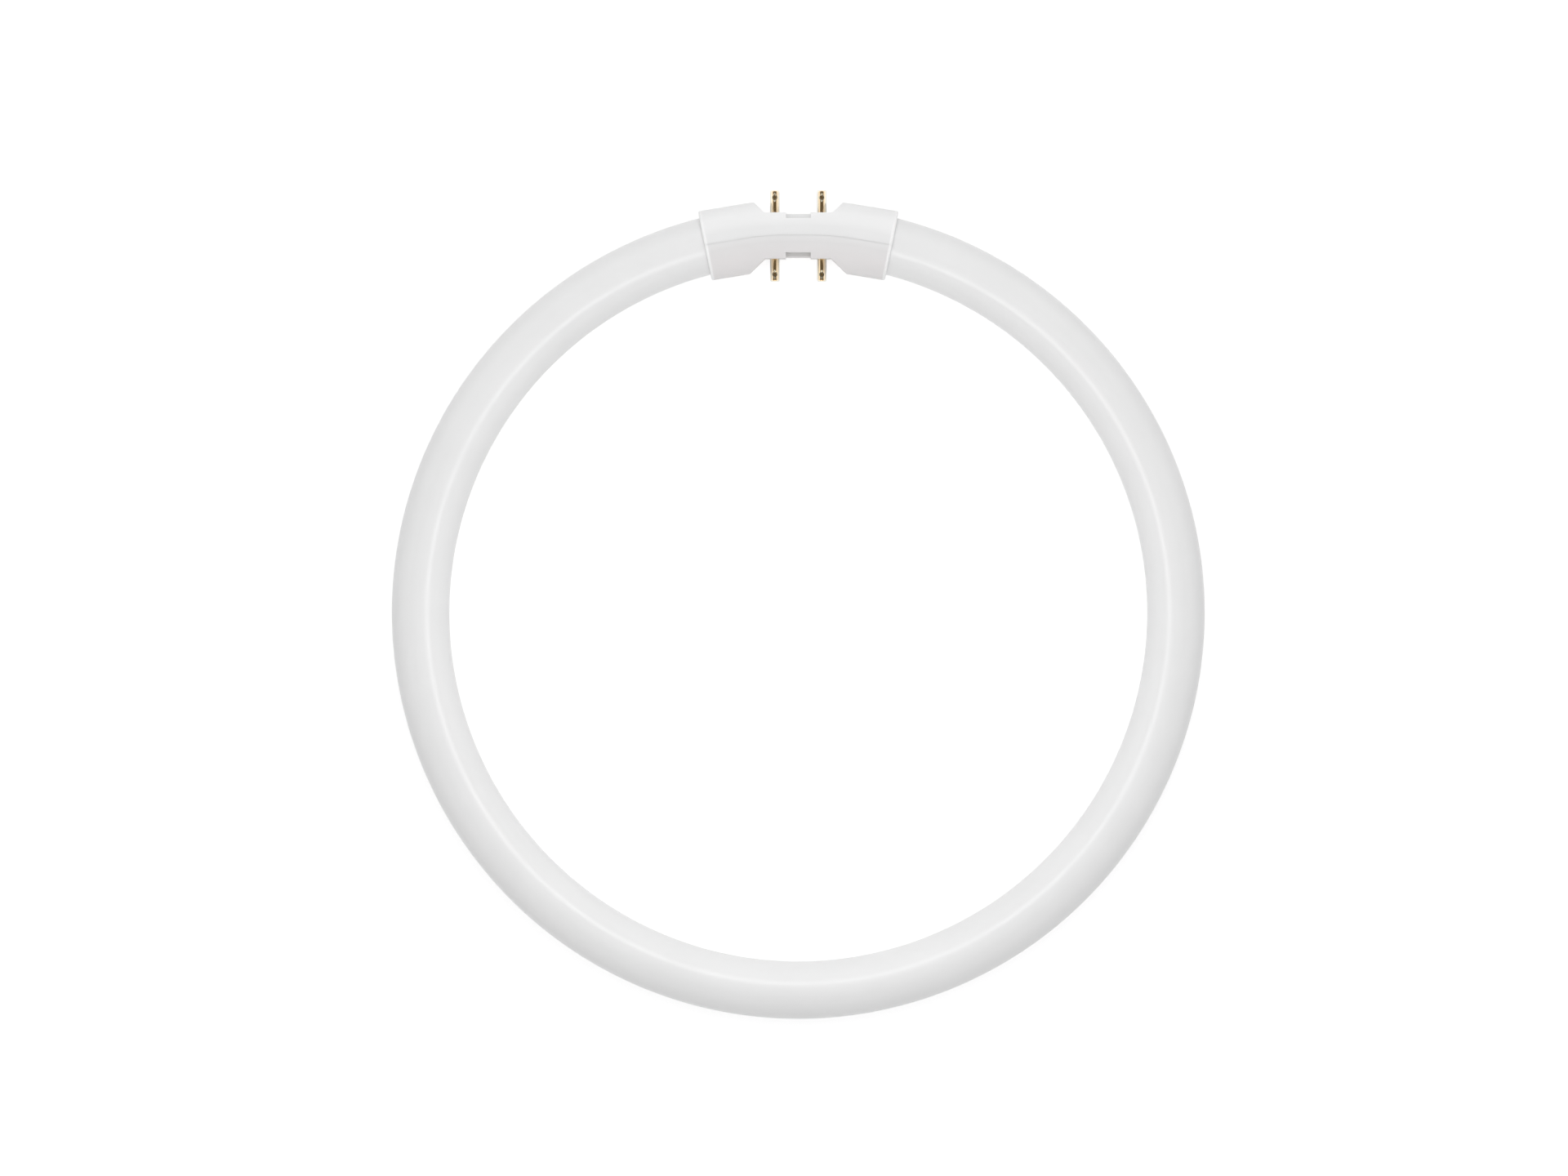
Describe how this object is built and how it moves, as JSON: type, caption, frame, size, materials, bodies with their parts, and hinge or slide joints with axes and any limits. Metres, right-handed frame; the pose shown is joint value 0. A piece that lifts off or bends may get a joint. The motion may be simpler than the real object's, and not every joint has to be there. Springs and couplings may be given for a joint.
{
  "type": "circular led tube",
  "caption": "Ring-shaped lamp of thin opal tube whose ends meet in a narrow-waisted white cap with contact pins on its outer and inner flats.",
  "frame": {"origin": "centre of the ring at half the tube's height, on the ring's axis", "axes": "+Z along the ring's axis, towards the side the lamp is seen from; +Y from the ring's centre to the middle of the cap; +X to the right"},
  "size_m": [0.225, 0.2294, 0.0196],
  "materials": {
    "opal_glass": "satin opal",
    "cap_plastic": "fine moulded satin",
    "gold_plating": "bright gold plated",
    "tape_foam": "foam tape",
    "strip_film": "white solder mask",
    "led_yellow": "phosphor resin in white frames",
    "board_green": "solder mask",
    "black_resin": "moulded resin",
    "ferrite": "sintered",
    "can_film": "shrunk film",
    "resistor_black": "glazed",
    "blade_tinned": "tinned",
    "lead_film": "white film"
  },
  "bodies": {
    "root": {"tube": "opal_glass", "cap_outer_shell": "cap_plastic", "cap_inner_shell": "cap_plastic", "led_strip": "strip_film", "strip_tape": "tape_foam", "led_chips": "led_yellow", "driver_board": "board_green", "control_chip": "black_resin", "bridge_rectifier": "black_resin", "smoothing_capacitor": "can_film", "choke": "ferrite", "fuse_resistor_left": "resistor_black", "fuse_resistor_right": "resistor_black", "strip_lead_left": "lead_film", "strip_lead_right": "lead_film", "pin_outer_left": "gold_plating", "pin_outer_right": "gold_plating", "pin_inner_left": "gold_plating", "pin_inner_right": "gold_plating", "pin_lead_outer_left": "blade_tinned", "pin_lead_outer_right": "blade_tinned", "pin_lead_inner_left": "blade_tinned", "pin_lead_inner_right": "blade_tinned"}
  },
  "joints": []
}
